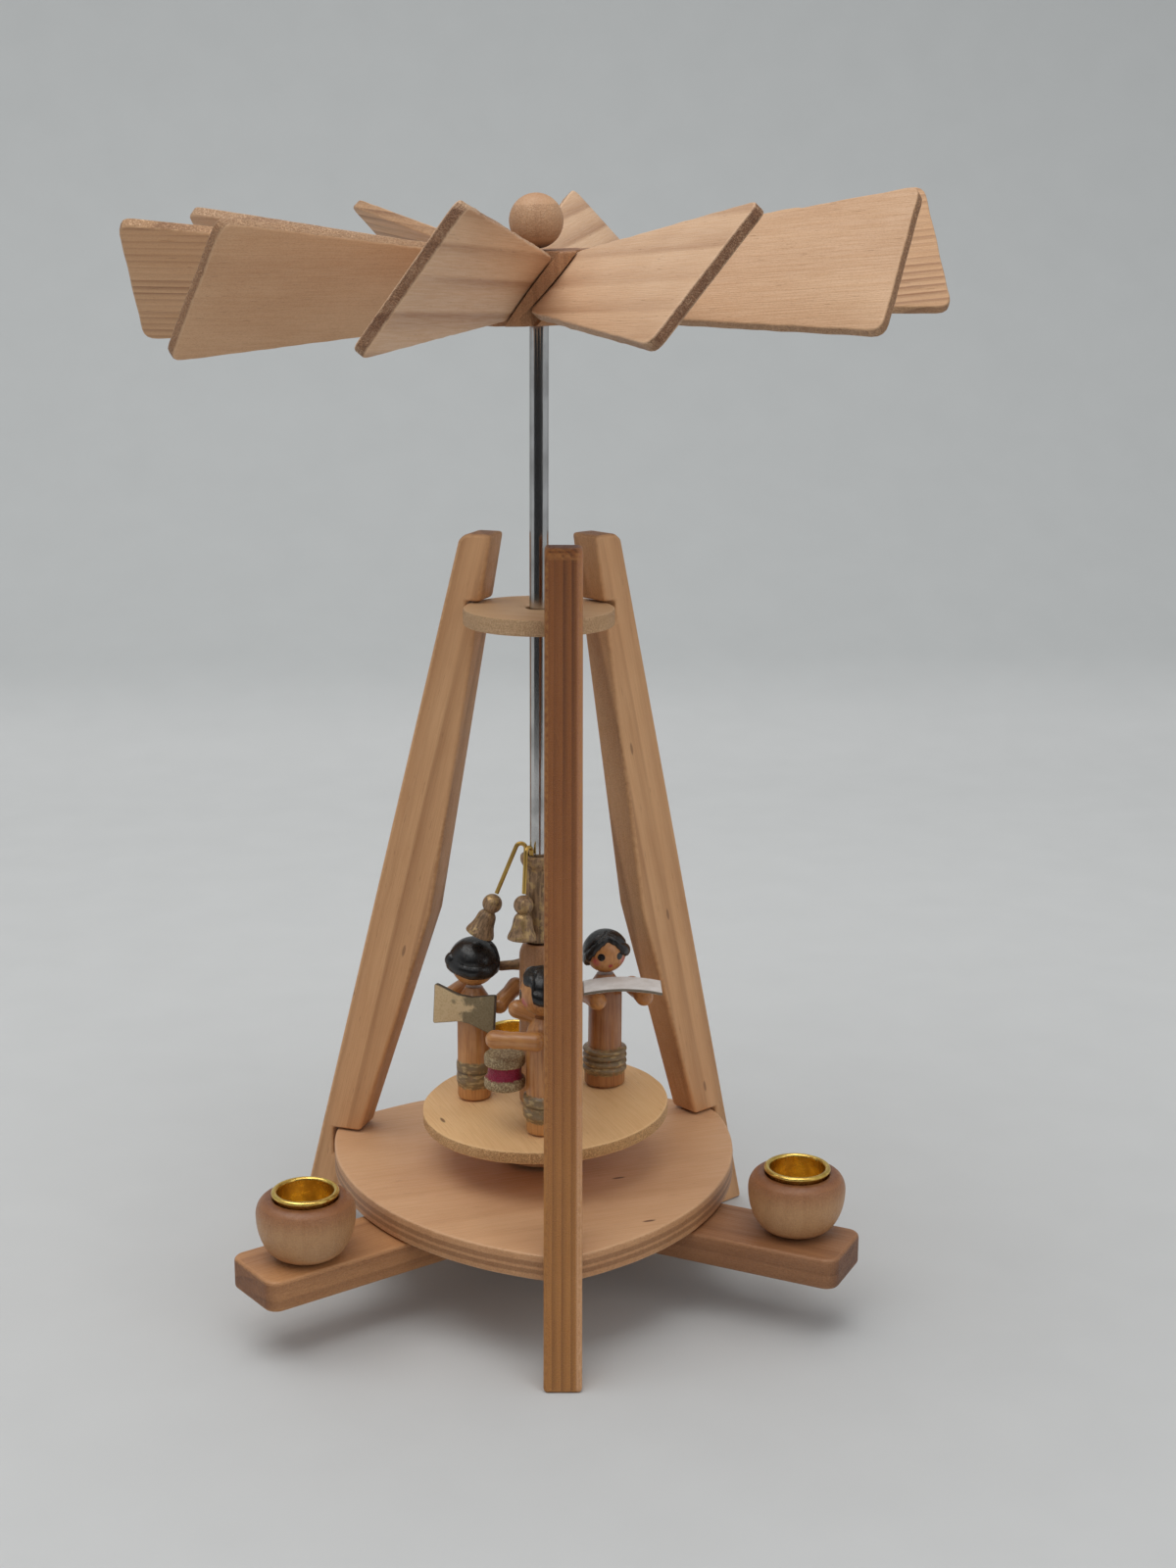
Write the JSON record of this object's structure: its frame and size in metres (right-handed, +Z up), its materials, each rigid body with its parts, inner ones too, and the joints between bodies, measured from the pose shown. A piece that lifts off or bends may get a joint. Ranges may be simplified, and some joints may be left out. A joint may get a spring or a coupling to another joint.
{
  "type": "christmas pyramid",
  "caption": "Small wooden table pyramid on legs: candles in brass cups drive a bladed wheel, which turns a shaft, a turntable of angel dolls and hanging bells.",
  "frame": {"origin": "on the table, under the shaft, at the middle of the wheel's outline seen from above", "axes": "+Z up along the shaft; -Y towards the front leg; +X to the right seen from the front"},
  "size_m": [0.1234, 0.1213, 0.1754],
  "materials": {
    "leg_pine": "planed pine, clear varnish",
    "plywood": "sanded plywood",
    "blade_pine": "sanded pine, unvarnished",
    "turned_wood": "turned, clear varnish",
    "brass": "polished",
    "steel": "bright ground rod",
    "bronze_paint": "bronze paint on wood",
    "doll_wood": "turned, clear varnish",
    "black_paint": "gloss black paint on wood",
    "wing_paint": "painted thin board",
    "drum_red": "red paint with bronze rims",
    "paper": "stiff paper"
  },
  "bodies": {
    "frame": {"base_plate": "plywood", "candle_bar_left": "leg_pine", "candle_bar_right": "leg_pine", "candle_bar_rear": "leg_pine", "leg_front": "leg_pine", "leg_right": "leg_pine", "leg_left": "leg_pine", "bearing_disc": "plywood", "candle_holder_left": "turned_wood", "candle_holder_right": "turned_wood", "candle_holder_rear": "turned_wood", "candle_cup_left": "brass", "candle_cup_right": "brass", "candle_cup_rear": "brass", "pivot_bush": "brass"},
    "carousel": {"shaft": "steel", "turntable_boss": "turned_wood", "turntable": "plywood", "centre_post": "turned_wood", "bell_sleeve": "bronze_paint", "bell_wire_1": "brass", "bell_wire_2": "brass", "bell_wire_3": "brass", "bell_1": "bronze_paint", "bell_2": "bronze_paint", "bell_3": "bronze_paint", "rotor_hub": "blade_pine", "blade_01": "blade_pine", "blade_02": "blade_pine", "blade_03": "blade_pine", "blade_04": "blade_pine", "blade_05": "blade_pine", "blade_06": "blade_pine", "blade_07": "blade_pine", "blade_08": "blade_pine", "blade_09": "blade_pine", "blade_10": "blade_pine", "finial_ball": "blade_pine", "trumpeter_body": "doll_wood", "trumpeter_head": "doll_wood", "trumpeter_hair": "black_paint", "trumpeter_arm_left": "doll_wood", "trumpeter_arm_right": "doll_wood", "trumpeter_wings": "wing_paint", "drummer_body": "doll_wood", "drummer_head": "doll_wood", "drummer_hair": "black_paint", "drummer_arm_left": "doll_wood", "drummer_arm_right": "doll_wood", "drummer_wings": "wing_paint", "singer_body": "doll_wood", "singer_head": "doll_wood", "singer_hair": "black_paint", "singer_arm_left": "doll_wood", "singer_arm_right": "doll_wood", "trumpet": "bronze_paint", "drum": "drum_red", "song_sheet": "paper"}
  },
  "joints": [
    {"name": "carousel_spin", "type": "hinge", "parent": "frame", "child": "carousel", "pos_m": [0, 0, 0], "axis": [0, 0, 1], "continuous": true}
  ]
}
